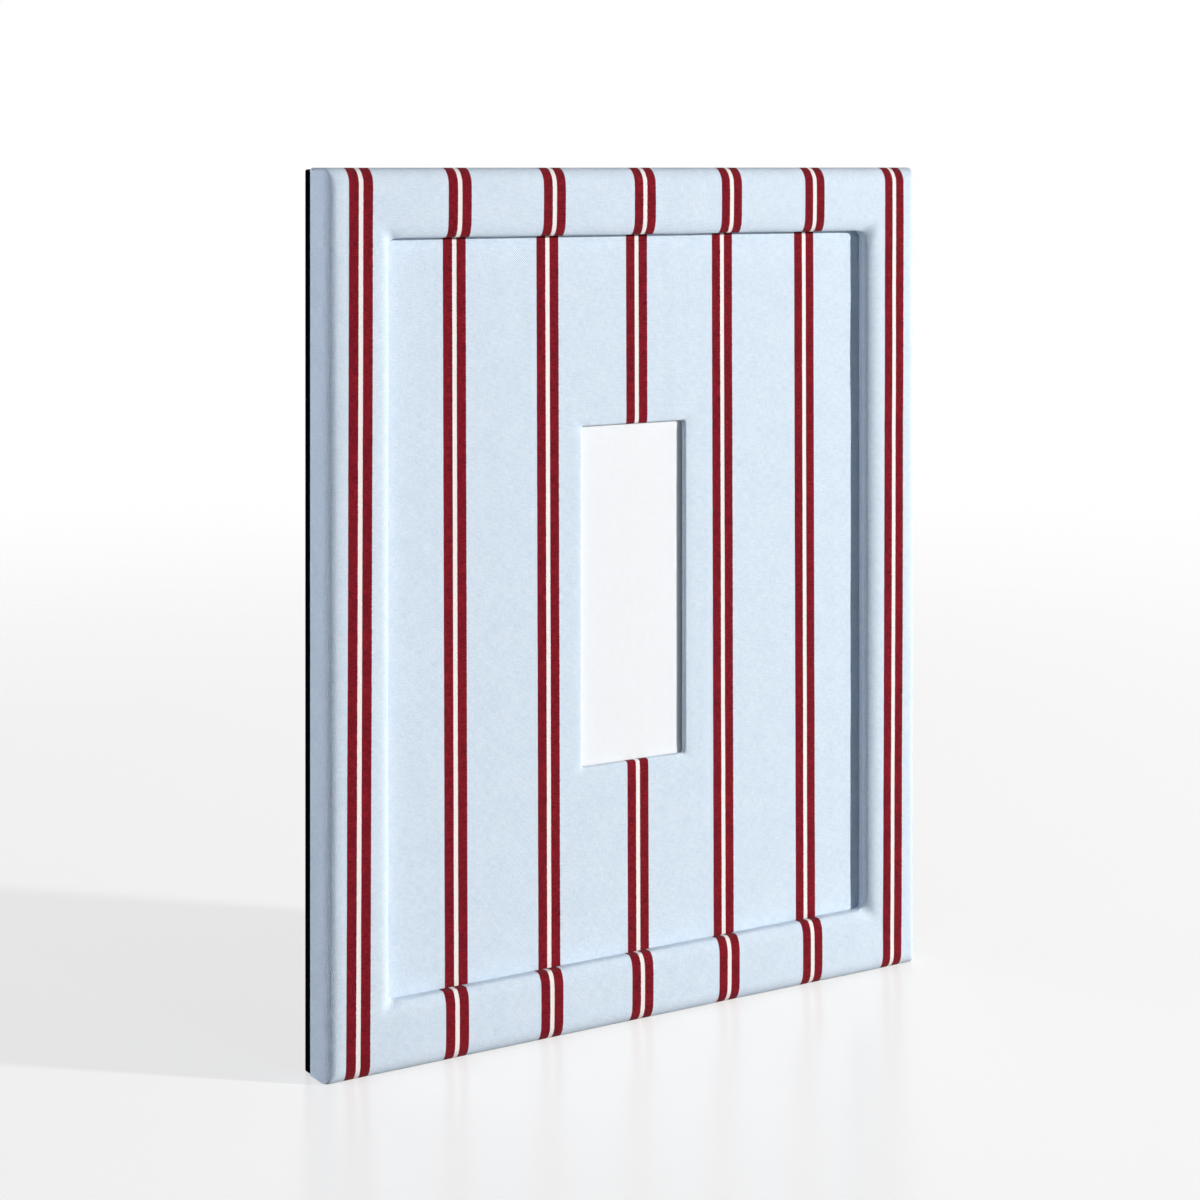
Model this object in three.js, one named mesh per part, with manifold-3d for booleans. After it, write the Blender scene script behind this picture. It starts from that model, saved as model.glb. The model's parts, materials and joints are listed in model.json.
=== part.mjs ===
// Padded picture frame covered in cloth, with a cloth mat and an easel leg.
// Millimetres, +Z up, the front faces -Y, origin on the floor under the middle of the frame.
import * as THREE from 'three';
import { mergeVertices } from 'three/addons/utils/BufferGeometryUtils.js';
import Module from 'manifold-3d';

const wasm = await Module();
wasm.setup();

// Driving dimensions: the picture format, then the layers from the front to the back.
const formatWidth = 203;
const formatHeight = 254;
const railWidth = 22.8;
const lipOverlap = 4.3;
const edgeRound = 4;
const clothThickness = 0.6;
const paddingThickness = 1.8;
const recessDepth = 5.8;
const wallDepth = 13.4;
const ringThickness = 4;
const ringInset = 0.5;
const matClothThickness = 0.4;
const matPaddingThickness = 0.3;
const matBoardThickness = 0.8;
const windowWidth = 41.6;
const windowHeight = 115.5;
const windowRound = 1.2;
const paneThickness = 0.3;
const cardThickness = 0.6;
const buttonReach = 8;
const buttonWidth = 9;
const buttonThickness = 1;
const buttonSpacing = 84;
const screwRadius = 1.2;
const screwBite = 5;
const hingeHeight = 195;
const hingeWidth = 33;
const barrelRadius = 2;
const pinRadius = 1;
const leafThickness = 0.9;
const leafHeight = 18;
const legFootHeight = 5;
const legTopWidth = 42;
const legFootWidth = 70;
const legOpenAngle = 28;

// Clearances between layers, around loose pieces and in running fits.
const layerGap = 0.1;
const play = 0.3;
const rabbetPlay = 0.75;
const doorPlay = 0.5;
const runningFit = 0.08;
const cornerSteps = 4;
const edgeSteps = 6;
const roundSteps = 16;

// Derived sizes.
const width = formatWidth + 2 * (railWidth - lipOverlap);
const height = formatHeight + 2 * (railWidth - lipOverlap);
const backDepth = wallDepth + ringThickness;
const skin = clothThickness + layerGap;
const paddingBack = skin + paddingThickness;
const woodFront = paddingBack + layerGap;
const lipBack = recessDepth - layerGap - skin;
const woodBack = wallDepth - layerGap - skin;
const rabbetWall = railWidth - lipOverlap - rabbetPlay;
const openingRound = 3;
const cornerRound = clothThickness + 0.3;

const colours = {
  cloth: '#d6e4ef',
  wood: '#c9a878',
  foam: '#efe9d8',
  board: '#d9d6cf',
  card: '#f4f5f8',
  clear: '#e8f0f4',
  black: '#0b0a0b',
  steel: '#b9bcc0',
};

function mesh(name, geometry, colour, roughness, metalness) {
  const material = new THREE.MeshStandardMaterial({ color: colour, roughness, metalness });
  const piece = new THREE.Mesh(geometry, material);
  piece.name = name;
  return piece;
}

// Merges the vertices of a closed surface, drops collapsed triangles and turns it outwards.
function closed(geometry) {
  const bare = new THREE.BufferGeometry();
  bare.setAttribute('position', geometry.getAttribute('position').clone());
  if (geometry.index) bare.setIndex(geometry.index.clone());
  const merged = mergeVertices(bare, 1e-4);
  const place = merged.getAttribute('position');
  const kept = [];
  let volume = 0;
  const a = new THREE.Vector3();
  const b = new THREE.Vector3();
  const c = new THREE.Vector3();
  for (let i = 0; i < merged.index.count; i += 3) {
    const [p, q, r] = [0, 1, 2].map((k) => merged.index.getX(i + k));
    if (p === q || q === r || r === p) continue;
    kept.push(p, q, r);
    a.fromBufferAttribute(place, p);
    b.fromBufferAttribute(place, q);
    c.fromBufferAttribute(place, r);
    volume += a.dot(b.cross(c));
  }
  merged.setIndex(volume < 0 ? kept.reverse() : kept);
  return merged;
}

function toManifold(geometry) {
  const surface = closed(geometry);
  return new wasm.Manifold(new wasm.Mesh({
    numProp: 3,
    vertProperties: new Float32Array(surface.getAttribute('position').array),
    triVerts: new Uint32Array(surface.index.array),
  }));
}

function fromManifold(solid) {
  const data = solid.getMesh();
  const geometry = new THREE.BufferGeometry();
  geometry.setAttribute('position', new THREE.BufferAttribute(data.vertProperties, 3));
  geometry.setIndex(new THREE.BufferAttribute(data.triVerts, 1));
  return geometry;
}

// Joins the first list of geometries and cuts the second list away.
function combine(joined, cut) {
  let solid = toManifold(joined[0]);
  for (const piece of joined.slice(1)) solid = solid.add(toManifold(piece));
  for (const piece of cut) solid = solid.subtract(toManifold(piece));
  return fromManifold(solid);
}

function box(sizeX, sizeY, sizeZ, x, y, z) {
  return new THREE.BoxGeometry(sizeX, sizeY, sizeZ).translate(x, y, z);
}

// A plate cut to an outline in X and Z, from one depth to another.
function plate(shape, front, back) {
  const settings = { depth: back - front, bevelEnabled: false, curveSegments: 8 };
  return new THREE.ExtrudeGeometry(shape, settings).rotateX(Math.PI / 2).translate(0, back, 0);
}

function flatPanel(name, sizeX, sizeZ, front, back, finish) {
  const geometry = box(sizeX, back - front, sizeZ, 0, (front + back) / 2, 0);
  return mesh(name, geometry, ...finish);
}

// A cylinder along Y, for holes and shanks.
function peg(radius, front, back, x, z) {
  const geometry = new THREE.CylinderGeometry(radius, radius, back - front, roundSteps);
  return geometry.translate(x, (front + back) / 2, z);
}

// Surface of a rectangular ring. Each section is a rounded rectangle: half width, half height, corner radius,
// depth and, where it isn't centred, how far it is raised.
function ring(sections) {
  const points = [];
  const faces = [];
  const count = 4 * (cornerSteps + 1);
  for (const [halfWidth, halfHeight, corner, depth, raised = 0] of sections) {
    for (let quarter = 0; quarter < 4; quarter += 1) {
      const sideX = quarter === 0 || quarter === 3 ? 1 : -1;
      const sideZ = quarter < 2 ? 1 : -1;
      for (let step = 0; step <= cornerSteps; step += 1) {
        const turn = (quarter + step / cornerSteps) * Math.PI / 2;
        const x = sideX * (halfWidth - corner) + corner * Math.cos(turn);
        const z = sideZ * (halfHeight - corner) + corner * Math.sin(turn) + raised;
        points.push(x, depth, z);
      }
    }
  }
  for (let section = 0; section < sections.length; section += 1) {
    const here = section * count;
    const there = ((section + 1) % sections.length) * count;
    for (let i = 0; i < count; i += 1) {
      const j = (i + 1) % count;
      faces.push(here + i, here + j, there + j, here + i, there + j, there + i);
    }
  }
  const geometry = new THREE.BufferGeometry();
  geometry.setAttribute('position', new THREE.Float32BufferAttribute(points, 3));
  geometry.setIndex(faces);
  return closed(geometry);
}

// Turn at which a rail's rounded edge, inset from the outer cloth, reaches a depth.
function edgeTurn(inset, depth) {
  return Math.asin((edgeRound - depth) / (edgeRound - inset));
}

// Front of a rail across its width, inset from the outer cloth: outer rounding, then inner rounding.
// Each point is [distance from the outer wall, depth]; the roundings cover the turns from first to last.
function railFront(inset, first = 0, last = Math.PI / 2) {
  const radius = edgeRound - inset;
  const outer = [];
  const inner = [];
  for (let i = 0; i <= edgeSteps; i += 1) {
    const turn = THREE.MathUtils.lerp(first, last, i / edgeSteps);
    const across = edgeRound - radius * Math.cos(turn);
    const depth = edgeRound - radius * Math.sin(turn);
    outer.push([across, depth]);
    inner.unshift([railWidth - across, depth]);
  }
  return outer.concat(inner);
}

function railRing(outline, cornerAt) {
  return ring(outline.map(([across, depth]) => [width / 2 - across, height / 2 - across, cornerAt(across), depth]));
}

function railCorner(across) {
  return THREE.MathUtils.lerp(cornerRound, openingRound, THREE.MathUtils.clamp(across / railWidth, 0, 1));
}

function railPadding() {
  const corner = (across) => Math.max(railCorner(across) - skin, 0.2);
  return mesh('rail_padding', railRing(railFront(skin, edgeTurn(skin, paddingBack)), corner), colours.foam, 0.9, 0);
}

// The cloth goes from a flap on the back of the rails, round the front, to a flap behind the lip.
function railCloth() {
  const backFlap = buttonAcross - screwRadius - 1.5;
  const lipFlap = rabbetWall + rabbetPlay;
  const outside = [
    [backFlap, woodBack + skin],
    [0, woodBack + skin],
    ...railFront(0),
    [railWidth, recessDepth - layerGap],
    [lipFlap, recessDepth - layerGap],
  ];
  const inside = [
    [lipFlap, lipBack + layerGap],
    [railWidth - clothThickness, lipBack + layerGap],
    ...railFront(clothThickness).reverse(),
    [clothThickness, woodBack + layerGap],
    [backFlap, woodBack + layerGap],
  ];
  const outer = outside.map(([across, depth]) => sectionOf(across, depth, railCorner(across)));
  const inner = inside.map(([across, depth]) => sectionOf(across, depth, insideCorner(across)));
  return mesh('rail_cloth', ring(outer.concat(inner)), colours.cloth, 0.85, 0);
}

function sectionOf(across, depth, corner) {
  return [width / 2 - across, height / 2 - across, corner, depth];
}

// The cloth's inner face turns tighter than its outer face at the frame's corners and wider in the opening.
function insideCorner(across) {
  return THREE.MathUtils.lerp(cornerRound - clothThickness, openingRound + clothThickness,
    THREE.MathUtils.clamp(across / railWidth, 0, 1));
}

function nailOutline(grow) {
  const arm = 6 + grow;
  const thick = 0.6;
  const shape = new THREE.Shape();
  shape.moveTo(grow, grow);
  shape.lineTo(-arm, grow);
  shape.lineTo(-arm, -thick - grow);
  shape.lineTo(-thick - grow, -thick - grow);
  shape.lineTo(-thick - grow, -arm);
  shape.lineTo(grow, -arm);
  shape.closePath();
  return shape;
}

// The bent nail of one corner; the sides are 1 or -1 along X and Z.
function nailGeometry(sideX, sideZ, grow) {
  const geometry = plate(nailOutline(grow), woodBack - 7 - grow, woodBack + grow);
  geometry.scale(sideX, 1, sideZ);
  const reach = rabbetWall / 2;
  return closed(geometry.translate(sideX * (width / 2 - reach), 0, sideZ * (height / 2 - reach)));
}

const corners = [
  ['top_left', -1, 1],
  ['top_right', 1, 1],
  ['bottom_left', -1, -1],
  ['bottom_right', 1, -1],
];

function cornerNails() {
  return corners.map(([name, sideX, sideZ]) => mesh(`corner_nail_${name}`,
    nailGeometry(sideX, sideZ, 0).translate(0, -layerGap, 0), colours.steel, 0.4, 1));
}

// Places of the turn buttons: name, side and height from the frame's middle.
const buttonAcross = rabbetWall - 7;
const buttonPlaces = [-1, 1].flatMap((side) => [1, 0, -1].map((row, index) => ({
  name: `${side < 0 ? 'left' : 'right'}_${index + 1}`,
  side,
  x: side * (width / 2 - buttonAcross),
  z: row * buttonSpacing,
})));
const screwTip = woodBack - screwBite;

function screwHoles(front, back) {
  return buttonPlaces.map(({ x, z }) => peg(screwRadius + play, front, back, x, z));
}

// A mitred rail with its front outline, its rabbet and the slots for nails and screws.
function rail(name, length, turn) {
  const outline = [
    [skin, woodBack],
    ...railFront(skin, 0, edgeTurn(skin, woodFront)),
    [railWidth - skin, lipBack],
    [rabbetWall, lipBack],
    [rabbetWall, woodBack],
  ];
  const shape = new THREE.Shape(outline.map(([across, depth]) => new THREE.Vector2(across, depth)));
  const geometry = new THREE.ExtrudeGeometry(shape, { depth: 1, bevelEnabled: false });
  const place = geometry.getAttribute('position');
  for (let i = 0; i < place.count; i += 1) {
    const across = place.getX(i);
    const along = (place.getZ(i) - 0.5) * (length - 2 * across - layerGap);
    place.setXYZ(i, along, place.getY(i), -across);
  }
  const reach = turn % 2 === 0 ? height / 2 : width / 2;
  geometry.translate(0, 0, reach).rotateY(turn * Math.PI / 2);
  const slots = corners.map(([, sideX, sideZ]) => nailGeometry(sideX, sideZ, play));
  const cut = combine([geometry], slots.concat(screwHoles(screwTip - play, woodBack + play)));
  return mesh(name, cut, colours.wood, 0.7, 0);
}

function rails() {
  return [
    rail('top_rail', width, 0),
    rail('right_rail', height, 1),
    rail('bottom_rail', width, 2),
    rail('left_rail', height, 3),
  ];
}

// The mat's layers, front to back.
const matClothFront = recessDepth;
const matPaddingFront = matClothFront + matClothThickness + layerGap;
const matBoardFront = matPaddingFront + matPaddingThickness + layerGap;
const matBoardBack = matBoardFront + matBoardThickness;
const matBack = matBoardBack + layerGap + matClothThickness;
const matSkin = matClothThickness + layerGap;

// Sections of the mat at a distance inside its edge or outside its window.
function matEdge(inset, corner, depth) {
  return [formatWidth / 2 - inset, formatHeight / 2 - inset, corner, depth];
}

function windowEdge(outset, corner, depth) {
  return [windowWidth / 2 + outset, windowHeight / 2 + outset, corner, depth];
}

function matBoard() {
  const geometry = ring([
    matEdge(matSkin, 0.3, matBoardFront),
    windowEdge(matSkin, 0.8, matBoardFront),
    windowEdge(matSkin, 0.8, matBoardBack),
    matEdge(matSkin, 0.3, matBoardBack),
  ]);
  return mesh('mat_board', geometry, colours.board, 0.9, 0);
}

function matPadding() {
  const back = matBoardFront - layerGap;
  const geometry = ring([
    matEdge(matSkin + 0.4, 0.3, matPaddingFront),
    windowEdge(windowRound, 0.8, matPaddingFront),
    windowEdge(matSkin + windowRound / 3, 0.8, back),
    matEdge(matSkin, 0.3, back),
  ]);
  return mesh('mat_padding', geometry, colours.foam, 0.95, 0);
}

// The mat's cloth rolls over the window's edge and over the outer edge to flaps behind the board.
function matCloth() {
  const flap = 12;
  const rolled = [];
  const lining = [];
  for (let i = 0; i <= 4; i += 1) {
    const turn = (Math.PI / 2) * i / 4;
    const inner = windowRound - matClothThickness;
    rolled.push(windowEdge(windowRound * (1 - Math.sin(turn)), 0.8, matClothFront + windowRound * (1 - Math.cos(turn))));
    lining.unshift(windowEdge(windowRound - inner * Math.sin(turn), 0.8,
      matClothFront + windowRound - inner * Math.cos(turn)));
  }
  const geometry = ring([
    matEdge(flap, 0.5, matBack),
    matEdge(0, 0.5, matBack),
    matEdge(0, 0.5, matClothFront + 0.5),
    matEdge(0.5, 0.5, matClothFront),
    ...rolled,
    windowEdge(0, 0.8, matBack),
    windowEdge(flap, 0.8, matBack),
    windowEdge(flap, 0.8, matBack - matClothThickness),
    windowEdge(matClothThickness, 0.8, matBack - matClothThickness),
    ...lining,
    matEdge(matClothThickness, 0.2, matClothFront + matClothThickness),
    matEdge(matClothThickness, 0.2, matBack - matClothThickness),
    matEdge(flap, 0.2, matBack - matClothThickness),
  ]);
  return mesh('mat_cloth', geometry, colours.cloth, 0.85, 0);
}

// The pane, the card in the window and the filler card fill the space up to the door.
const paneFront = matBack + layerGap;
const cardFront = paneFront + paneThickness + layerGap;
const backingFront = cardFront + cardThickness + layerGap;
const backingBack = wallDepth - 2 * layerGap;

function stack() {
  return [
    flatPanel('pane', formatWidth, formatHeight, paneFront, paneFront + paneThickness, [colours.clear, 0.1, 0]),
    flatPanel('insert_card', formatWidth, formatHeight, cardFront, cardFront + cardThickness, [colours.card, 0.6, 0]),
    flatPanel('backing_card', formatWidth, formatHeight, backingFront, backingBack, [colours.board, 0.9, 0]),
  ];
}

// The ring stands on the floor with the cloth, so only its top and sides are inset.
function backRing() {
  const outer = [width / 2 - ringInset, (height - ringInset) / 2, 0.8];
  const opening = [width / 2 - rabbetWall, height / 2 - rabbetWall, 0.4];
  const geometry = ring([
    [...outer, wallDepth, -ringInset / 2],
    [...opening, wallDepth],
    [...opening, backDepth],
    [...outer, backDepth, -ringInset / 2],
  ]);
  const holes = screwHoles(wallDepth - play, backDepth + play);
  return mesh('back_ring', combine([geometry], holes), colours.black, 0.95, 0);
}

const hingeZ = hingeHeight - height / 2;
const axisDepth = backDepth + layerGap + barrelRadius;
const rivetRadius = 1.2;
const rivetSide = hingeWidth / 2 - 6;
const rivetRise = leafHeight / 2 + barrelRadius;

function backDoor() {
  const inset = rabbetWall + doorPlay;
  const panel = box(width - 2 * inset, ringThickness, height - 2 * inset, 0, (wallDepth + backDepth) / 2, 0);
  const holes = [-1, 1].map((side) => peg(rivetRadius + play / 2, wallDepth - play, backDepth + play,
    side * rivetSide, hingeZ + rivetRise));
  return mesh('back_door', combine([panel], holes), colours.black, 0.95, 0);
}

// A turned piece about Y: the profile runs from the axis at the tip to the axis at the head.
function turned(profile) {
  const points = profile.map(([radius, depth]) => new THREE.Vector2(radius, depth));
  return closed(new THREE.LatheGeometry(points, roundSteps));
}

const buttonFront = backDepth + 0.2;
const headFront = buttonFront + buttonThickness + 0.2;

// Pan-head screw with a cross slot; it carries a turn button under its head.
function buttonScrew({ name, x, z }) {
  const headRadius = 3;
  const headHeight = 1.8;
  const body = turned([
    [0, screwTip],
    [screwRadius * 0.4, screwTip],
    [screwRadius, screwTip + 1.5],
    [screwRadius, headFront],
    [headRadius, headFront],
    [headRadius, headFront + headHeight * 0.45],
    [headRadius * 0.62, headFront + headHeight],
    [0, headFront + headHeight],
  ]);
  const slotDepth = headFront + headHeight;
  const slots = [box(3.2, 1.6, 0.7, 0, slotDepth, 0), box(0.7, 1.6, 3.2, 0, slotDepth, 0)];
  return mesh(`button_screw_${name}`, combine([body], slots).translate(x, 0, z), colours.steel, 0.35, 1);
}

// Stamped turn button: round ends, a pivot hole and a tip that overlaps the door.
function turnButton({ name, side, x, z }) {
  const half = buttonWidth / 2;
  const tip = rabbetWall - buttonAcross + doorPlay + buttonReach - half * 0.7;
  const shape = new THREE.Shape();
  shape.absarc(0, 0, half, Math.PI / 2, Math.PI * 1.5, false);
  shape.absarc(tip, 0, half * 0.7, -Math.PI / 2, Math.PI / 2, false);
  shape.closePath();
  const pivot = new THREE.Path();
  pivot.absarc(0, 0, screwRadius + runningFit, 0, Math.PI * 2, true);
  shape.holes.push(pivot);
  const settings = { depth: buttonThickness, bevelEnabled: false, curveSegments: roundSteps };
  const geometry = new THREE.ExtrudeGeometry(shape, settings).rotateX(Math.PI / 2);
  const button = mesh(`turn_button_${name}`, closed(geometry), colours.steel, 0.35, 1);
  button.position.set(x, buttonFront + buttonThickness, z);
  button.rotation.y = side < 0 ? 0 : Math.PI;
  return button;
}

// A cylinder along the hinge's axis.
function barrel(radius, length, x) {
  const geometry = new THREE.CylinderGeometry(radius, radius, length, roundSteps).rotateZ(Math.PI / 2);
  return geometry.translate(x, axisDepth, hingeZ);
}

const knuckleWidth = hingeWidth / 4;
const leafClear = barrelRadius + 1;

// Fixed half of the hinge: a leaf on the door above the axis and a knuckle at each side.
function hingeLeaf() {
  const leafMiddle = backDepth + layerGap + leafThickness / 2;
  const wide = box(hingeWidth, leafThickness, leafHeight, 0, leafMiddle, hingeZ + leafClear + leafHeight / 2);
  const joined = [wide];
  for (const side of [-1, 1]) {
    const x = side * (hingeWidth - knuckleWidth) / 2;
    joined.push(box(knuckleWidth, leafThickness, leafClear + 1, x, leafMiddle, hingeZ + (leafClear + 1) / 2));
    joined.push(barrel(barrelRadius, knuckleWidth, x));
  }
  const holes = [-1, 1].map((side) => peg(rivetRadius + play / 2, backDepth - play, axisDepth,
    side * rivetSide, hingeZ + rivetRise));
  const cut = [barrel(pinRadius + runningFit, hingeWidth + 2, 0), ...holes];
  return mesh('hinge_leaf', combine(joined, cut), colours.steel, 0.35, 1);
}

function hingePin() {
  return mesh('hinge_pin', closed(barrel(pinRadius, hingeWidth + 1.6, 0)), colours.steel, 0.3, 1);
}

// Domed rivet: its shank goes forward from the face at the depth `face`.
function rivet(name, face, length, x, z) {
  const headRadius = 2.4;
  const geometry = turned([
    [0, face - length],
    [rivetRadius, face - length],
    [rivetRadius, face + layerGap],
    [headRadius, face + layerGap],
    [headRadius * 0.85, face + 0.8],
    [headRadius * 0.45, face + 1.2],
    [0, face + 1.3],
  ]);
  return mesh(name, geometry.translate(x, 0, z), colours.steel, 0.35, 1);
}

function leafRivets() {
  const face = backDepth + layerGap + leafThickness;
  const length = leafThickness + ringThickness;
  return [
    rivet('leaf_rivet_left', face, length, -rivetSide, hingeZ + rivetRise),
    rivet('leaf_rivet_right', face, length, rivetSide, hingeZ + rivetRise),
  ];
}

// The leg hangs folded against the door; its leaf lies on the outer face, level with the barrel.
const legLeafBack = axisDepth + barrelRadius;
const legLeafFront = legLeafBack - leafThickness;
const legBack = legLeafFront - layerGap;
const legFront = backDepth + 0.5;
const legTopZ = hingeZ - leafClear;
const legFootZ = legFootHeight - height / 2;

function legOutline() {
  const round = 4;
  const shape = new THREE.Shape();
  shape.moveTo(-legTopWidth / 2, legTopZ);
  shape.lineTo(-legFootWidth / 2, legFootZ + round);
  shape.quadraticCurveTo(-legFootWidth / 2, legFootZ, -legFootWidth / 2 + round, legFootZ);
  shape.lineTo(legFootWidth / 2 - round, legFootZ);
  shape.quadraticCurveTo(legFootWidth / 2, legFootZ, legFootWidth / 2, legFootZ + round);
  shape.lineTo(legTopWidth / 2, legTopZ);
  shape.closePath();
  return shape;
}

function legBoard() {
  const holes = [-1, 1].map((side) => peg(rivetRadius + play / 2, legFront - play, legBack + play,
    side * rivetSide, hingeZ - rivetRise));
  return mesh('leg_board', combine([plate(legOutline(), legFront, legBack)], holes), colours.black, 0.95, 0);
}

// Moving half of the hinge, with a short heel above the axis that stops the leg against the fixed leaf.
function legLeaf() {
  const open = THREE.MathUtils.degToRad(legOpenAngle);
  const inside = barrelRadius - leafThickness;
  const heel = (inside * Math.cos(open) + inside - 0.2) / Math.sin(open);
  const knuckle = hingeWidth - 2 * knuckleWidth - 2 * play;
  const middle = (legLeafFront + legLeafBack) / 2;
  const tabHeight = heel + leafClear + 1;
  const joined = [
    box(hingeWidth, leafThickness, leafHeight, 0, middle, legTopZ - leafHeight / 2),
    box(knuckle, leafThickness, tabHeight, 0, middle, hingeZ + heel - tabHeight / 2),
    barrel(barrelRadius, knuckle, 0),
  ];
  const holes = [-1, 1].map((side) => peg(rivetRadius + play / 2, axisDepth, legLeafBack + play,
    side * rivetSide, hingeZ - rivetRise));
  const cut = [barrel(pinRadius + runningFit, hingeWidth + 2, 0), ...holes];
  return mesh('leg_leaf', combine(joined, cut), colours.steel, 0.35, 1);
}

function legRivets() {
  const length = legLeafBack - legFront;
  return [
    rivet('leg_rivet_left', legLeafBack, length, -rivetSide, hingeZ - rivetRise),
    rivet('leg_rivet_right', legLeafBack, length, rivetSide, hingeZ - rivetRise),
  ];
}

function group(name, pieces) {
  const holder = new THREE.Group();
  holder.name = name;
  holder.add(...pieces);
  return holder;
}

const frame = group('picture_frame', [
  group('rails', [...rails(), ...cornerNails(), railPadding(), railCloth()]),
  group('mat', [matBoard(), matPadding(), matCloth()]),
  group('contents', stack()),
  group('back', [backRing(), backDoor(), ...buttonPlaces.map(buttonScrew), ...buttonPlaces.map(turnButton)]),
  group('leg', [hingeLeaf(), hingePin(), ...leafRivets(), legBoard(), legLeaf(), ...legRivets()]),
]);
frame.position.set(0, -backDepth / 2, height / 2);
const assembly = new THREE.Group();
assembly.add(frame);

export default assembly;
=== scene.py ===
"""Looks for the padded picture frame: striped cloth, mat, flocked back, fittings and a plain studio."""
import json
import math

import bpy
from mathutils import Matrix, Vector, noise


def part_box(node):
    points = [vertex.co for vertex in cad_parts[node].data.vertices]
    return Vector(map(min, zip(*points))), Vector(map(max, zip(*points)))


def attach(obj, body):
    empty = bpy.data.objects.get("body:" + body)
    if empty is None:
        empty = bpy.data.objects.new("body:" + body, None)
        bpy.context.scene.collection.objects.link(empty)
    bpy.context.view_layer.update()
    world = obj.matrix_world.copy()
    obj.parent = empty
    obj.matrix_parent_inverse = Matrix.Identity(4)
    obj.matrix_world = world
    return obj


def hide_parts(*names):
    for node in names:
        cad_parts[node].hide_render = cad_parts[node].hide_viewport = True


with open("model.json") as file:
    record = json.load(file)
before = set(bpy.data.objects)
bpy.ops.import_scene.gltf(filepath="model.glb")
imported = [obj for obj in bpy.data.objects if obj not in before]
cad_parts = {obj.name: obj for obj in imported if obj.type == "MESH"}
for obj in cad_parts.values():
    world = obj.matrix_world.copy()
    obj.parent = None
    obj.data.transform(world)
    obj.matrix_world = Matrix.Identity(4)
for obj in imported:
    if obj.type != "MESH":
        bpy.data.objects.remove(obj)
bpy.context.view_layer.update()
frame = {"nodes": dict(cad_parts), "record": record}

MM = 0.001

# Sizes read from the frame.
cloth_low, cloth_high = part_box("rail_cloth")
mat_low, mat_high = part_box("mat_cloth")
WIDTH = cloth_high[0] - cloth_low[0]
HEIGHT = cloth_high[2] - cloth_low[2]
MIDDLE_Z = (cloth_low[2] + cloth_high[2]) / 2
FRONT_Y = cloth_low[1]
WALL_BACK = cloth_high[1] - FRONT_Y
MAT_FRONT = mat_low[1] - FRONT_Y
MAT_BACK = mat_high[1] - FRONT_Y
MAT_WIDTH = mat_high[0] - mat_low[0]
MAT_HEIGHT = mat_high[2] - mat_low[2]

# Cloth across a rail. Sides are the left and right rails, ends the top and bottom ones.
RAIL_WIDTH = 22.8 * MM
EDGE_DEEP = 4.6 * MM
SIDE_WIDE = 3.4 * MM
SIDE_BEVEL = 1
END_WIDE = 4.6 * MM
END_BEVEL = 1.3
BASE_PRESS = 1.45
INNER_WIDE = 4.6 * MM
SIDE_INNER = 3.2 * MM
END_INNER = 2.3 * MM
LIP_GAP = 0.1 * MM
LIP_DEEP = 1.2 * MM
SIDE_LIP = 0.2 * MM
END_LIP = 1.2 * MM
LIP_FLAP = 4 * MM
BACK_FLAP = 8 * MM
FOLD_ROUND = 0.6 * MM
CORNER_ROUND = 0.9 * MM
OPENING_ROUND = 3.2 * MM

# Cloth of the mat: the turn at its outer edge, and its window with a sunk and rolled edge.
MAT_CORNER = 0.5 * MM
MAT_TURN = 1.5 * MM
WINDOW_WIDTH = 42.2 * MM
WINDOW_HEIGHT = 115.5 * MM
WINDOW_ROUND = 0.95 * MM
WINDOW_CORNER = 0.9 * MM
WINDOW_SLOPE = 3.5 * MM
WINDOW_SINK = 0.15 * MM

# Unevenness of hand-wrapped cloth, tucks at the corners of an opening, and the share of a rounding's depth
# that both reach.
RAIL_RIPPLE = 0.16 * MM
MAT_RIPPLE = 0.08 * MM
BROAD_WAVE = 26 * MM
FINE_WAVE = 8 * MM
FINE_SHARE = 0.25
FINE_OFFSET = Vector((7.3, 1.9, 4.1))
TUCK_DEPTH = 0.8 * MM
TUCK_WIDTH = 1.5 * MM
TUCK_LENGTH = 8 * MM
MAT_TUCK = 0.3
UNEVEN_SHARE = 0.9

# Foam on the rails: distance from their edges, depth behind the cloth, and how far it thins out.
PAD_EDGE = 2.6 * MM
PAD_FRONT = 0.7 * MM
PAD_DROOP = 1.2 * MM

# Cloth simulation: how hard the padding pushes, on what share of the edge's depth, for how many frames,
# and the most a point may move.
PUFF_PRESSURE = 4
PUFF_STIFFNESS = 1000
PUFF_QUALITY = 6
PUFF_SHARE = 0.8
PUFF_FRAMES = 20
PUFF_REACH = 0.6 * MM

# Stripes: middle of the central one, spacing, lean from the upright, half widths of stripe and pale line,
# and the raggedness and softness of their edges.
RAIL_STRIPES = {"start": -0.08 * MM, "spacing": 36.29 * MM, "lean": 0.0037}
MAT_STRIPES = {"start": 1.17 * MM, "spacing": 35.89 * MM, "lean": -0.0033}
STRIPE_HALF = 4.32 * MM
PALE_HALF = 0.8 * MM
STRIPE_TOOTH = 0.3 * MM
STRIPE_SOFT = 0.06 * MM

# Weave: width of two threads, cells of unevenness per metre along a thread, cells of cloudiness per metre,
# and the range of mottle over which the cloth goes from its darker to its paler tone.
WEAVE = 0.8 * MM
THREAD_CELLS = 350
CLOUD_CELLS = 110
MOTTLE_SPAN = (0.32, 0.66)

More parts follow.
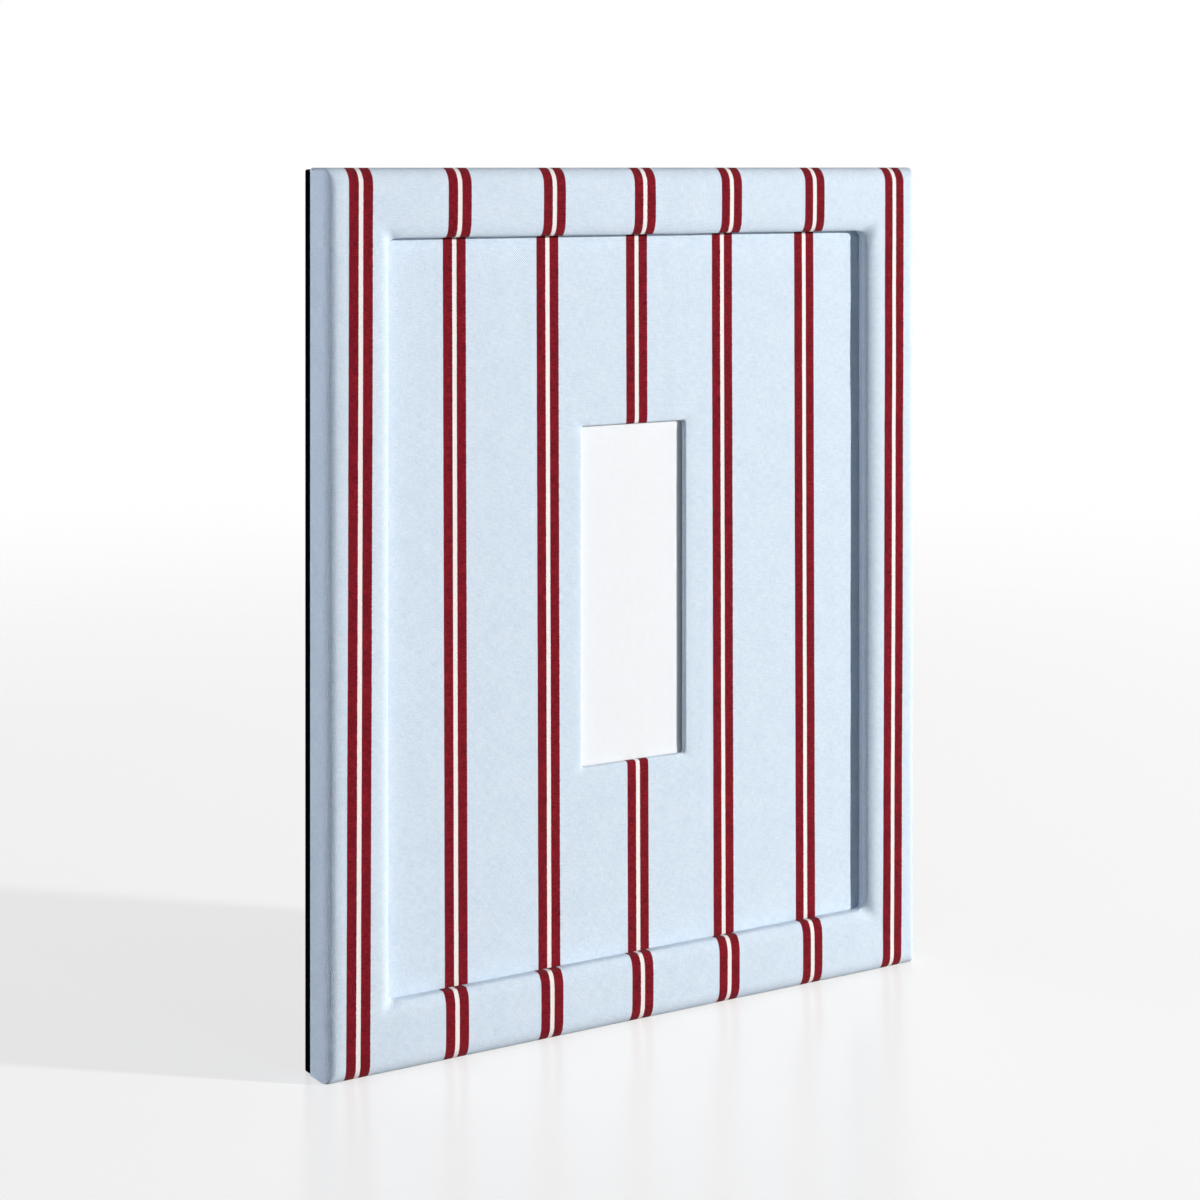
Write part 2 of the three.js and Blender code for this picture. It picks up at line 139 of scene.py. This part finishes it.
# Colours.
SKY = (0.74, 0.83, 0.92, 1)
SKY_DARK = (0.605, 0.72, 0.845, 1)
BURGUNDY = (0.29, 0.011, 0.022, 1)
BURGUNDY_DARK = (0.1, 0.002, 0.007, 1)
CREAM = (0.92, 0.88, 0.86, 1)
FLOCK_PALE = (0.036, 0.034, 0.035, 1)
FLOCK_DARK = (0.007, 0.0065, 0.0068, 1)
FLOCK_EDGE = (0.002, 0.0018, 0.0018, 1)
STEEL_BRIGHT = (0.52, 0.51, 0.5, 1)
STEEL_DULL = (0.33, 0.325, 0.315, 1)
WOOD_PALE = (0.62, 0.43, 0.24, 1)
WOOD_DARK = (0.45, 0.28, 0.14, 1)
FOAM_PALE = (0.84, 0.79, 0.66, 1)
FOAM_DARK = (0.76, 0.71, 0.58, 1)
BOARD_PALE = (0.5, 0.48, 0.45, 1)
BOARD_DARK = (0.42, 0.4, 0.37, 1)
CARD_PALE = (0.835, 0.85, 0.875, 1)
CARD_DARK = (0.815, 0.83, 0.855, 1)
CLEAR = (0.95, 0.97, 0.98, 1)
WHITE = (1, 1, 1, 1)

# Camera, from the photograph's perspective: level, at the height of the frame's top.
CAMERA_PLACE = Vector((-0.497, -0.7527, 0.2914))
CAMERA_TURN = math.radians(32.78)
CAMERA_LENS = 78.73
CAMERA_SENSOR = 36
CAMERA_SHIFT = -0.3613
CAMERA_NEAR = 0.05
CAMERA_FAR = 50

# Lamps: one low on the right and a weak one nearly in front. Angles are in degrees from straight ahead.
KEY = {"side": 45, "rise": 10.5, "distance": 3, "size": 0.16, "level": 1.305, "colour": (1.0, 0.98, 0.95)}
SOFT = {"side": 6, "rise": 28.5, "distance": 2.5, "size": 0.14, "level": 0.04, "colour": (0.55, 0.88, 1.3)}

# Light from the surround: its colour, its level on the left and behind, what is left of it towards the front
# and the top, and the span of direction over which each changes.
FILL_COLOUR = (0.94, 0.97, 1.075, 1)
LEFT_FILL = 5.6
LEFT_SPAN = (-0.9, -0.4)
FRONT_SHARE = 0.12
FRONT_SPAN = (-0.5, 0.25)
BACK_FILL = 1.5
BACK_SPAN = (0.1, 0.6)
TOP_SHARE = 0.03
TOP_SPAN = (0.05, 0.55)

# Floor: its size, its colours to the eye and to the light it sends back, the share of its look that takes
# shadows, the level of the rest, and the distances over which it runs out.
FLOOR_SIZE = 8
FLOOR_SEEN = (0.95, 0.93, 0.9, 1)
FLOOR_BOUNCE = (0.1, 0.105, 0.115, 1)
FLOOR_SHADE = 0.5
FLOOR_WHITE = 1.23
FLOOR_SPAN = (0.5, 1.5)


def plug(tree, socket, value):
    """Sets a socket, or links it where the value is another node's output."""
    if isinstance(value, bpy.types.NodeSocket):
        tree.links.new(value, socket)
    else:
        socket.default_value = value


def add(tree, kind, inputs=None, **settings):
    """Adds a node, with its settings and its inputs by name or number."""
    made = tree.nodes.new(kind)
    for name, value in settings.items():
        setattr(made, name, value)
    for name, value in (inputs or {}).items():
        plug(tree, made.inputs[name], value)
    return made


def calc(tree, operation, first, second=0.0):
    """Output of a Math node."""
    return add(tree, "ShaderNodeMath", {0: first, 1: second}, operation=operation).outputs[0]


def blend(tree, share, first, second):
    """Colour between two colours."""
    made = add(tree, "ShaderNodeMix", data_type="RGBA")
    plug(tree, made.inputs["Factor"], share)
    plug(tree, made.inputs["A"], first)
    plug(tree, made.inputs["B"], second)
    return made.outputs["Result"]


def fade(tree, value, span, start=0.0, end=1.0):
    """Value mapped smoothly from a span to the range start..end."""
    low, high = span
    inputs = {"Value": value, "From Min": low, "From Max": high, "To Min": start, "To Max": end}
    made = add(tree, "ShaderNodeMapRange", inputs, interpolation_type="SMOOTHSTEP")
    return made.outputs["Result"]


def grain(tree, where, cells, detail):
    """Noise at a number of cells per metre."""
    inputs = {"Vector": where, "Scale": cells, "Detail": detail}
    return add(tree, "ShaderNodeTexNoise", inputs).outputs["Fac"]


def stretched_grain(tree, where, across, along, detail):
    """Noise with different numbers of cells per metre across and along the cloth."""
    run = add(tree, "ShaderNodeMapping", {"Vector": where, "Scale": (across, along, 1)})
    return grain(tree, run.outputs["Vector"], cells=1, detail=detail)


def object_place(tree):
    """Coordinates that stay with the object."""
    return add(tree, "ShaderNodeTexCoord").outputs["Object"]


def material(name, **inputs):
    """New material; returns it, its node tree and its Principled shader with the given inputs."""
    made = bpy.data.materials.new(name)
    made.use_nodes = True
    tree = made.node_tree
    shader = tree.nodes["Principled BSDF"]
    for socket, value in inputs.items():
        plug(tree, shader.inputs[socket.replace("_", " ")], value)
    return made, tree, shader


def bump(tree, shader, height, strength, distance, normal=None):
    """Raises a surface by a height map; returns the normal so that another can be added."""
    inputs = {"Height": height, "Strength": strength, "Distance": distance}
    if normal is not None:
        inputs["Normal"] = normal
    made = add(tree, "ShaderNodeBump", inputs)
    plug(tree, shader.inputs["Normal"], made.outputs["Normal"])
    return made.outputs["Normal"]


def plain_weave(tree, across, along):
    """Height of a plain weave: crossed waves, one for each set of threads."""
    turn = 2 * math.pi / WEAVE
    warp = calc(tree, "SINE", calc(tree, "MULTIPLY", across, turn))
    weft = calc(tree, "SINE", calc(tree, "MULTIPLY", along, turn))
    return calc(tree, "MULTIPLY", warp, weft)


def stripe_share(tree, apart, half):
    """1 within a half width of a stripe's middle and 0 beyond, with a slightly soft edge."""
    return fade(tree, apart, (half - STRIPE_SOFT, half + STRIPE_SOFT), 1, 0)


def striped_cloth(name, start, spacing, lean):
    """Plain woven cloth: pale ground, with dark stripes that have a pale line along the middle."""
    looks = {"Roughness": 0.9, "Specular_IOR_Level": 0.08, "Sheen_Weight": 0.04, "Sheen_Roughness": 0.5}
    made, tree, shader = material(name, **looks)
    where = add(tree, "ShaderNodeUVMap", uv_map="cloth").outputs["UV"]
    split = add(tree, "ShaderNodeSeparateXYZ", {0: where})
    across, along = split.outputs["X"], split.outputs["Y"]

    # Stripes, by the distance from the nearest stripe's middle, with edges as ragged as the threads.
    thread = stretched_grain(tree, where, THREAD_CELLS, 2 / WEAVE, detail=1)
    tooth = calc(tree, "MULTIPLY", calc(tree, "SUBTRACT", thread, 0.5), STRIPE_TOOTH)
    middle = calc(tree, "ADD", calc(tree, "MULTIPLY", along, lean), start)
    place = calc(tree, "ADD", calc(tree, "SUBTRACT", across, middle), tooth)
    apart = calc(tree, "PINGPONG", place, spacing / 2)
    dark = stripe_share(tree, apart, STRIPE_HALF)
    pale = stripe_share(tree, apart, PALE_HALF)

    # Uneven threads, cloudy patches and the weave make the colour change between two tones.
    thread_part, cloud_part, weave_part = 0.42, 0.16, 0.09
    weave = plain_weave(tree, across, along)
    slub = stretched_grain(tree, where, 2 / WEAVE, THREAD_CELLS, detail=2)
    cloudy = grain(tree, where, cells=CLOUD_CELLS, detail=4)
    uneven = calc(tree, "MULTIPLY", calc(tree, "ADD", slub, thread), thread_part)
    uneven = calc(tree, "ADD", uneven, calc(tree, "MULTIPLY", cloudy, cloud_part))
    mottle = calc(tree, "ADD", uneven, calc(tree, "MULTIPLY", weave, weave_part))
    tone = fade(tree, mottle, MOTTLE_SPAN)
    ground = blend(tree, tone, SKY_DARK, SKY)
    stripe = blend(tree, tone, BURGUNDY_DARK, BURGUNDY)
    colour = blend(tree, pale, blend(tree, dark, ground, stripe), CREAM)
    plug(tree, shader.inputs["Base Color"], colour)

    woven = bump(tree, shader, weave, strength=0.7, distance=0.1 * MM)
    bump(tree, shader, uneven, strength=0.3, distance=0.3 * MM, normal=woven)
    return made


def flock():
    """Short black pile on the faces of a board, and plain black on its cut edges."""
    looks = {"Roughness": 1.0, "Specular_IOR_Level": 0.0, "Sheen_Weight": 0.015, "Sheen_Roughness": 0.35}
    made, tree, shader = material("black_flock", **looks)
    coords = add(tree, "ShaderNodeTexCoord")
    where = coords.outputs["Object"]
    facing = add(tree, "ShaderNodeSeparateXYZ", {0: coords.outputs["Normal"]}).outputs["Y"]
    face = fade(tree, calc(tree, "ABSOLUTE", facing), (0.5, 0.8))
    pile_part, patch_part = 0.7, 0.3
    pile = grain(tree, where, cells=1400, detail=3)
    patch = grain(tree, where, cells=28, detail=4)
    pile_tone = calc(tree, "MULTIPLY", pile, pile_part)
    tone = calc(tree, "ADD", pile_tone, calc(tree, "MULTIPLY", patch, patch_part))
    brushed = blend(tree, fade(tree, tone, (0.4, 0.65)), FLOCK_DARK, FLOCK_PALE)
    plug(tree, shader.inputs["Base Color"], blend(tree, face, FLOCK_EDGE, brushed))
    bump(tree, shader, pile, strength=0.5, distance=0.25 * MM)
    return made


def plated_steel():
    """Bright plated steel with fine wear."""
    made, tree, shader = material("plated_steel", Metallic=1.0)
    where = object_place(tree)
    smooth, rough = 0.24, 0.4
    wear = grain(tree, where, cells=260, detail=5)
    plug(tree, shader.inputs["Roughness"], fade(tree, wear, (0.35, 0.7), smooth, rough))
    worn = fade(tree, wear, (0.4, 0.7))
    plug(tree, shader.inputs["Base Color"], blend(tree, worn, STEEL_BRIGHT, STEEL_DULL))
    scratched = grain(tree, where, cells=900, detail=2)
    bump(tree, shader, scratched, strength=0.08, distance=0.05 * MM)
    return made


def wood():
    """Bare softwood with long grain."""
    made, tree, shader = material("bare_wood", Roughness=0.7)
    waves = {"Vector": object_place(tree), "Scale": 60, "Distortion": 5, "Detail": 3}
    ringed = add(tree, "ShaderNodeTexWave", waves).outputs["Fac"]
    plug(tree, shader.inputs["Base Color"], blend(tree, ringed, WOOD_PALE, WOOD_DARK))
    bump(tree, shader, ringed, strength=0.2, distance=0.1 * MM)
    return made


def speckled(name, pale, dark, cells, roughness):
    """Foam, wadding, grey board or card: two close tones and a slight tooth."""
    made, tree, shader = material(name, Roughness=roughness, Specular_IOR_Level=0.25)
    tooth = grain(tree, object_place(tree), cells=cells, detail=4)
    tone = fade(tree, tooth, (0.35, 0.65))
    plug(tree, shader.inputs["Base Color"], blend(tree, tone, pale, dark))
    bump(tree, shader, tooth, strength=0.15, distance=0.08 * MM)
    return made


def clear_sheet():
    """Thin clear film."""
    return material("clear_sheet", Base_Color=CLEAR, Roughness=0.06, Alpha=0.07)[0]


finishes = {
    "wood": wood(),
    "foam": speckled("foam", FOAM_PALE, FOAM_DARK, cells=600, roughness=0.95),
    "board": speckled("grey_board", BOARD_PALE, BOARD_DARK, cells=900, roughness=0.9),
    "white_card": speckled("white_card", CARD_PALE, CARD_DARK, cells=500, roughness=0.7),
    "clear_sheet": clear_sheet(),
    "black_flock": flock(),
    "steel": plated_steel(),
}


def dress_nodes():
    """Gives every shown CAD node the material of its slot."""
    for row in frame["record"]["subparts"]:
        if row["material_slot"] in finishes:
            data = frame["nodes"][row["node"]].data
            data.materials.clear()
            data.materials.append(finishes[row["material_slot"]])


def steps(first, last, count):
    """Evenly spaced values from first to last."""
    return [first + (last - first) * i / count for i in range(count + 1)]


def columns(side_steps, end_steps, corner_steps):
    """Places round a rectangle, closer near its corners: (quarter, along, corner share).

    A place on a straight stretch has no corner share, and one on a corner has no along.
    """
    places = []
    for quarter in range(4):
        for i in range(corner_steps + 1):
            places.append((quarter, None, i / corner_steps))
        count = end_steps if quarter % 2 == 0 else side_steps
        for along in steps(1, -1, count)[1:-1]:
            denser = (along + math.sin(along * math.pi / 2)) / 2
            places.append((quarter, denser, None))
    return places


def rectangle_point(place, half_width, half_height, corner):
    """Point of a rounded rectangle at a place, its share of turn from X to Z, and its signs in X and Z."""
    quarter, along, share = place
    side_x = 1 if quarter in (0, 3) else -1
    side_z = 1 if quarter < 2 else -1
    if along is None:
        angle = (quarter + share) * math.pi / 2
        x = side_x * (half_width - corner) + corner * math.cos(angle)
        z = side_z * (half_height - corner) + corner * math.sin(angle)
        to_z = share if quarter % 2 == 0 else 1 - share
        return x, z, to_z, side_x, side_z
    # After the corner of a quarter the outline runs along the top, the left, the bottom, then the right.
    if quarter % 2 == 0:
        level = 1 if quarter == 0 else -1
        return along * level * (half_width - corner), level * half_height, 1, side_x, level
    level = -1 if quarter == 1 else 1
    return level * half_width, -along * level * (half_height - corner), 0, level, side_z


def surface(name, places, rows, closed=False):
    """Sheet lofted through rows round a rectangle, with its cloth coordinates, or a closed ring.

    A row is (half width, half height, corner, depth, slack): slack is how far the flattened cloth
    reaches beyond the row's outline.
    """
    points = []
    cloth = []
    for half_width, half_height, corner, depth, slack in rows:
        for place in places:
            x, z, to_z, side_x, side_z = rectangle_point(place, half_width, half_height, corner)
            points.append(Vector((x, FRONT_Y + depth, z + MIDDLE_Z)))
            cloth.append((x + side_x * slack * (1 - to_z), z + side_z * slack * to_z))
    count = len(places)
    faces = []
    for row in range(len(rows) if closed else len(rows) - 1):
        here = row * count
        there = (row + 1) % len(rows) * count
        for i in range(count):
            j = (i + 1) % count
            faces.append((here + i, here + j, there + j, there + i))
    data = bpy.data.meshes.new(name)
    data.from_pydata(points, [], faces)
    layer = data.uv_layers.new(name="cloth")
    for loop in data.loops:
        layer.data[loop.index].uv = cloth[loop.vertex_index]
    data.polygons.foreach_set("use_smooth", [True] * len(data.polygons))
    made = bpy.data.objects.new(name, data)
    bpy.context.scene.collection.objects.link(made)
    return made


def unrolled(outline, anchor):
    """Adds to each (across, depth) its flattened place, measured along the cloth from the anchor point."""
    lengths = [0.0]
    for before, after in zip(outline, outline[1:]):
        lengths.append(lengths[-1] + math.dist(before, after))
    shift = outline[anchor][0] - lengths[anchor]
    return [(across, depth, length + shift) for (across, depth), length in zip(outline, lengths)]


def rail_outline(edge_wide, bevel, inner_deep, lip_wide):
    """The cloth across a rail: back flap, outer wall, rounded edge, flat front, rounded edge, lip."""
    quarter = steps(0, math.pi / 2, count=10)
    fold = steps(0, math.pi / 2, count=3)
    back = WALL_BACK - FOLD_ROUND
    outline = [(across, WALL_BACK) for across in steps(BACK_FLAP, FOLD_ROUND, count=3)[:-1]]
    outline += [(FOLD_ROUND * (1 - math.sin(a)), back + FOLD_ROUND * math.cos(a)) for a in fold]
    outline += [(0.0, depth) for depth in steps(back, EDGE_DEEP, count=7)[1:-1]]
    for a in quarter:
        outline.append((edge_wide * (1 - math.cos(a) ** bevel), EDGE_DEEP * (1 - math.sin(a) ** bevel)))
    inner = RAIL_WIDTH - INNER_WIDE
    outline += [(across, 0.0) for across in steps(edge_wide, inner, count=14)[1:-1]]
    lip = MAT_FRONT - LIP_GAP
    turn = lip - LIP_DEEP
    under = RAIL_WIDTH - lip_wide
    depths = [END_INNER * (1 - math.cos(a)) for a in quarter]
    depths += steps(END_INNER, turn, count=5)[1:-1]
    for depth in depths:
        left = max(1 - depth / inner_deep, 0)
        outline.append((inner + INNER_WIDE * math.sqrt(1 - left * left), depth))
    for a in steps(0, math.pi / 2, count=5):
        outline.append((under + lip_wide * math.cos(a), turn + LIP_DEEP * math.sin(a)))
    outline += [(across, lip) for across in steps(under, RAIL_WIDTH - LIP_FLAP, count=2)[1:]]
    return outline


def ripple(point, reach):
    """Slight unevenness of hand-wrapped cloth, in metres."""
    broad = noise.noise(point / BROAD_WAVE)
    fine = noise.noise(point / FINE_WAVE + FINE_OFFSET)
    return reach * ((1 - FINE_SHARE) * broad + FINE_SHARE * fine)


def tuck(x, z, half_width, half_height):
    """Depth of the cloth's tuck on the diagonal outside an opening's corner."""
    off_x = abs(x) - half_width
    off_z = abs(z) - half_height
    along = (off_x + off_z) / math.sqrt(2)
    aside = (off_x - off_z) / math.sqrt(2)
    if along < -TUCK_WIDTH or along > TUCK_LENGTH:
        return 0.0
    share = 1 - max(along, 0) / TUCK_LENGTH
    return TUCK_DEPTH * share * share * math.exp(-(aside / (TUCK_WIDTH * (0.5 + share))) ** 2)


def settle(made, depth):
    """Cloth simulation: the padding pushes out what lies in front of a depth, and the rest is held."""
    held = made.vertex_groups.new(name="held")
    for vertex in made.data.vertices:
        free = vertex.co.y - FRONT_Y < depth
        held.add([vertex.index], 0.0 if free else 1.0, "REPLACE")
    cloth = made.modifiers.new("cloth", "CLOTH")
    cloth.settings.vertex_group_mass = held.name
    cloth.settings.quality = PUFF_QUALITY
    cloth.settings.tension_stiffness = PUFF_STIFFNESS
    cloth.settings.compression_stiffness = PUFF_STIFFNESS
    cloth.settings.shear_stiffness = PUFF_STIFFNESS / 2
    cloth.settings.use_pressure = True
    cloth.settings.uniform_pressure_force = PUFF_PRESSURE
    cloth.settings.effector_weights.gravity = 0
    cloth.point_cache.frame_end = PUFF_FRAMES
    for number in range(1, PUFF_FRAMES + 1):
        bpy.context.scene.frame_set(number)
    seen = made.evaluated_get(bpy.context.evaluated_depsgraph_get())
    moves = [after.co - before.co for after, before in zip(seen.data.vertices, made.data.vertices)]
    made.modifiers.remove(cloth)
    made.vertex_groups.remove(held)
    bpy.context.scene.frame_set(1)
    for vertex, move in zip(made.data.vertices, moves):
        if move.length > PUFF_REACH:
            move = move.normalized() * PUFF_REACH
        vertex.co += move


def cover(made, skin, node):
    """Gives a stretched cloth its material, makes it ride with the frame, and hides the CAD node it stands
    for.
    """
    made.data.materials.append(skin)
    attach(made, "frame")
    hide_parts(node)


def padding(name, node, rows):
    """Closed ring of foam or wadding under a cloth."""
    places = columns(side_steps=60, end_steps=50, corner_steps=4)
    made = surface(name, places, rows, closed=True)
    made.data.materials.append(finishes["foam"])
    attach(made, "frame")
    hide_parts(node)


def rail_padding():
    """Foam on the front of the rails, thinner towards its edges."""
    _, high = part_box("rail_padding")
    back = high[1] - FRONT_Y
    first, last = PAD_EDGE, RAIL_WIDTH - PAD_EDGE
    rows = []
    for across in steps(first, last, count=12):
        side = (across - first) / (last - first) * 2 - 1
        depth = PAD_FRONT + PAD_DROOP * side ** 4
        rows.append((WIDTH / 2 - across, HEIGHT / 2 - across, CORNER_ROUND, depth, 0.0))
    for across in (last, first):
        rows.append((WIDTH / 2 - across, HEIGHT / 2 - across, CORNER_ROUND, back, 0.0))
    padding("rail_foam", "rail_padding", rows)


def mat_padding():
    """Thin wadding between the mat's board and its cloth."""
    low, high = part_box("mat_padding")
    front, back = low[1] - FRONT_Y, high[1] - FRONT_Y
    window = (WINDOW_WIDTH / 2 + WINDOW_SLOPE, WINDOW_HEIGHT / 2 + WINDOW_SLOPE)
    outer = (high[0], (high[2] - low[2]) / 2)
    middle = [(edge + opening) / 2 for edge, opening in zip(outer, window)]
    rows = [(*size, CORNER_ROUND, front, 0.0) for size in (outer, middle, window)]
    rows += [(*size, CORNER_ROUND, back, 0.0) for size in (window, middle, outer)]
    padding("mat_wadding", "mat_padding", rows)


def rail_rows():
    """Rows of the rails' cloth, from its back flap to the flap behind its lip."""
    sides = rail_outline(SIDE_WIDE, SIDE_BEVEL, SIDE_INNER, SIDE_LIP)
    ends = rail_outline(END_WIDE, END_BEVEL, END_INNER, END_LIP)
    front = next(i for i, (across, depth) in enumerate(sides) if across >= RAIL_WIDTH / 2 and depth <= 0)
    rows = []
    for (across, depth, flat), (from_end, _) in zip(unrolled(sides, front), ends):
        share = min(max(across / RAIL_WIDTH, 0), 1)
        corner = CORNER_ROUND + (OPENING_ROUND - CORNER_ROUND) * share
        rows.append((WIDTH / 2 - across, HEIGHT / 2 - from_end, corner, depth, across - flat))
    return rows


def rail_cloth():
    """One striped cloth over all four rails, pressed squarer where the frame stands."""
    rows = rail_rows()
    opening = (WIDTH / 2 - RAIL_WIDTH, HEIGHT / 2 - RAIL_WIDTH)
    places = columns(side_steps=110, end_steps=90, corner_steps=8)
    made = surface("rail_cloth_cover", places, rows)
    made.data.update()
    normals = [vertex.normal.copy() for vertex in made.data.vertices]
    for vertex, normal in zip(made.data.vertices, normals):
        place = vertex.co.copy()
        if place.y - FRONT_Y < EDGE_DEEP * UNEVEN_SHARE:
            vertex.co += normal * ripple(place, RAIL_RIPPLE)
            vertex.co.y += tuck(place.x, place.z - MIDDLE_Z, *opening)
        if vertex.co.z < END_WIDE:
            vertex.co.z = END_WIDE * (max(vertex.co.z, 0.0) / END_WIDE) ** BASE_PRESS
    settle(made, EDGE_DEEP * PUFF_SHARE)
    cover(made, striped_cloth("rail_cloth", **RAIL_STRIPES), "rail_cloth")


def mat_rows(window):
    """Rows of the mat's cloth, from its turned outer edge over its face and round its window's edge."""
    half = (MAT_WIDTH / 2, MAT_HEIGHT / 2)
    rows = [(*half, MAT_CORNER, MAT_FRONT + MAT_TURN, MAT_TURN)]
    for share in steps(0, 1, count=26):
        sizes = [edge + (opening + WINDOW_SLOPE - edge) * share for edge, opening in zip(half, window)]
        rows.append((*sizes, MAT_CORNER + share * (WINDOW_CORNER - MAT_CORNER), MAT_FRONT, 0.0))
    for outset in steps(WINDOW_SLOPE, WINDOW_ROUND, count=6)[1:-1]:
        fall = (WINDOW_SLOPE - outset) / (WINDOW_SLOPE - WINDOW_ROUND)
        depth = MAT_FRONT + WINDOW_SINK * fall ** 2
        rows.append((*[edge + outset for edge in window], WINDOW_CORNER, depth, 0.0))
    for angle in steps(0, math.pi / 2, count=8):
        outset = WINDOW_ROUND * (1 - math.sin(angle))
        depth = MAT_FRONT + WINDOW_SINK + WINDOW_ROUND * (1 - math.cos(angle))
        slack = -(WINDOW_ROUND * angle - WINDOW_ROUND * math.sin(angle))
        rows.append((*[edge + outset for edge in window], WINDOW_CORNER, depth, slack))
    rolled_depth, rolled_slack = rows[-1][3:]
    for depth in steps(rolled_depth, MAT_BACK, count=3)[1:]:
        rows.append((*window, WINDOW_CORNER, depth, rolled_slack - (depth - rolled_depth)))
    return rows


def mat_cloth():
    """The mat's cloth, from under the lip to the rolled edge of its window."""
    window = (WINDOW_WIDTH / 2, WINDOW_HEIGHT / 2)
    rows = mat_rows(window)
    places = columns(side_steps=80, end_steps=60, corner_steps=5)
    made = surface("mat_cloth_cover", places, rows)
    uneven_deep = MAT_FRONT + WINDOW_SINK + WINDOW_ROUND * UNEVEN_SHARE
    for vertex in made.data.vertices:
        place = vertex.co.copy()
        if place.y - FRONT_Y < uneven_deep:
            vertex.co.y += ripple(place, MAT_RIPPLE) + MAT_RIPPLE
            vertex.co.y += MAT_TUCK * tuck(place.x, place.z - MIDDLE_Z, *window)
    cover(made, striped_cloth("mat_cloth", **MAT_STRIPES), "mat_cloth")


def looked_at(tree):
    """1 on the rays that show a surface to the eye: straight, in a reflection or through a clear sheet."""
    path = add(tree, "ShaderNodeLightPath")
    seen = calc(tree, "MAXIMUM", path.outputs["Is Camera Ray"], path.outputs["Is Glossy Ray"])
    return calc(tree, "MAXIMUM", seen, path.outputs["Is Transmission Ray"])


def mix_shaders(tree, share, first, second):
    """Shader between two shaders."""
    return add(tree, "ShaderNodeMixShader", {0: share, 1: first, 2: second}).outputs["Shader"]


def floor():
    """Pale floor that keeps the shadow and runs out into the white background."""
    bpy.ops.mesh.primitive_plane_add(size=FLOOR_SIZE)
    made = bpy.context.object
    made.name = "floor"
    skin, tree, shader = material("floor", Roughness=0.22, Specular_IOR_Level=0.6)
    seen = looked_at(tree)
    plug(tree, shader.inputs["Base Color"], blend(tree, seen, FLOOR_BOUNCE, FLOOR_SEEN))
    white = add(tree, "ShaderNodeEmission", {"Color": WHITE, "Strength": FLOOR_WHITE})
    white_share = calc(tree, "MULTIPLY", seen, 1 - FLOOR_SHADE)
    lifted = mix_shaders(tree, white_share, shader.outputs["BSDF"], white.outputs["Emission"])
    where = object_place(tree)
    far = add(tree, "ShaderNodeVectorMath", {0: where}, operation="LENGTH").outputs["Value"]
    gone = calc(tree, "MULTIPLY", fade(tree, far, FLOOR_SPAN), seen)
    clear = add(tree, "ShaderNodeBsdfTransparent").outputs["BSDF"]
    mixed = mix_shaders(tree, gone, lifted, clear)
    plug(tree, tree.nodes["Material Output"].inputs["Surface"], mixed)
    made.data.materials.append(skin)


def lamp(name, setup):
    """Round lamp aimed at the middle of the frame; its level is the brightness it gives a white card."""
    data = bpy.data.lights.new(name, "AREA")
    data.shape = "DISK"
    data.size = setup["size"]
    data.energy = setup["level"] * (math.pi * setup["distance"]) ** 2
    data.color = setup["colour"]
    made = bpy.data.objects.new(name, data)
    side, rise = math.radians(setup["side"]), math.radians(setup["rise"])
    toward = Vector((math.sin(side) * math.cos(rise), -math.cos(side) * math.cos(rise), math.sin(rise)))
    made.location = Vector((0, 0, MIDDLE_Z)) + toward * setup["distance"]
    made.rotation_euler = toward.to_track_quat("Z", "Y").to_euler()
    bpy.context.scene.collection.objects.link(made)


def surround():
    """Surround that lights from low on the left and from behind, and is white where it is looked at."""
    world = bpy.data.worlds.new("studio")
    bpy.context.scene.world = world
    world.use_nodes = True
    tree = world.node_tree
    background = tree.nodes["Background"]
    seen = looked_at(tree)
    toward = add(tree, "ShaderNodeTexCoord").outputs["Generated"]
    parts = add(tree, "ShaderNodeSeparateXYZ", {0: toward}).outputs
    left = fade(tree, parts["X"], LEFT_SPAN, LEFT_FILL, 0)
    left = calc(tree, "MULTIPLY", left, fade(tree, parts["Y"], FRONT_SPAN, FRONT_SHARE, 1))
    back = fade(tree, parts["Y"], BACK_SPAN, 0, BACK_FILL)
    fill = calc(tree, "MAXIMUM", left, back)
    fill = calc(tree, "MULTIPLY", fill, fade(tree, parts["Z"], TOP_SPAN, 1, TOP_SHARE))
    unseen = calc(tree, "SUBTRACT", 1.0, seen)
    strength = calc(tree, "ADD", calc(tree, "MULTIPLY", fill, unseen), seen)
    plug(tree, background.inputs["Color"], blend(tree, seen, FILL_COLOUR, WHITE))
    plug(tree, background.inputs["Strength"], strength)


def camera():
    """Level camera at the photograph's place, with the lens shift of its framing."""
    data = bpy.data.cameras.new("camera")
    data.sensor_width = CAMERA_SENSOR
    data.lens = CAMERA_LENS
    data.shift_y = CAMERA_SHIFT
    data.clip_start = CAMERA_NEAR
    data.clip_end = CAMERA_FAR
    made = bpy.data.objects.new("camera", data)
    made.location = CAMERA_PLACE
    made.rotation_euler = (math.pi / 2, 0, -CAMERA_TURN)
    bpy.context.scene.collection.objects.link(made)
    bpy.context.scene.camera = made


camera()
dress_nodes()
rail_padding()
mat_padding()
rail_cloth()
mat_cloth()
floor()
lamp("key", KEY)
lamp("soft", SOFT)
surround()
bpy.context.scene.view_settings.view_transform = "Standard"
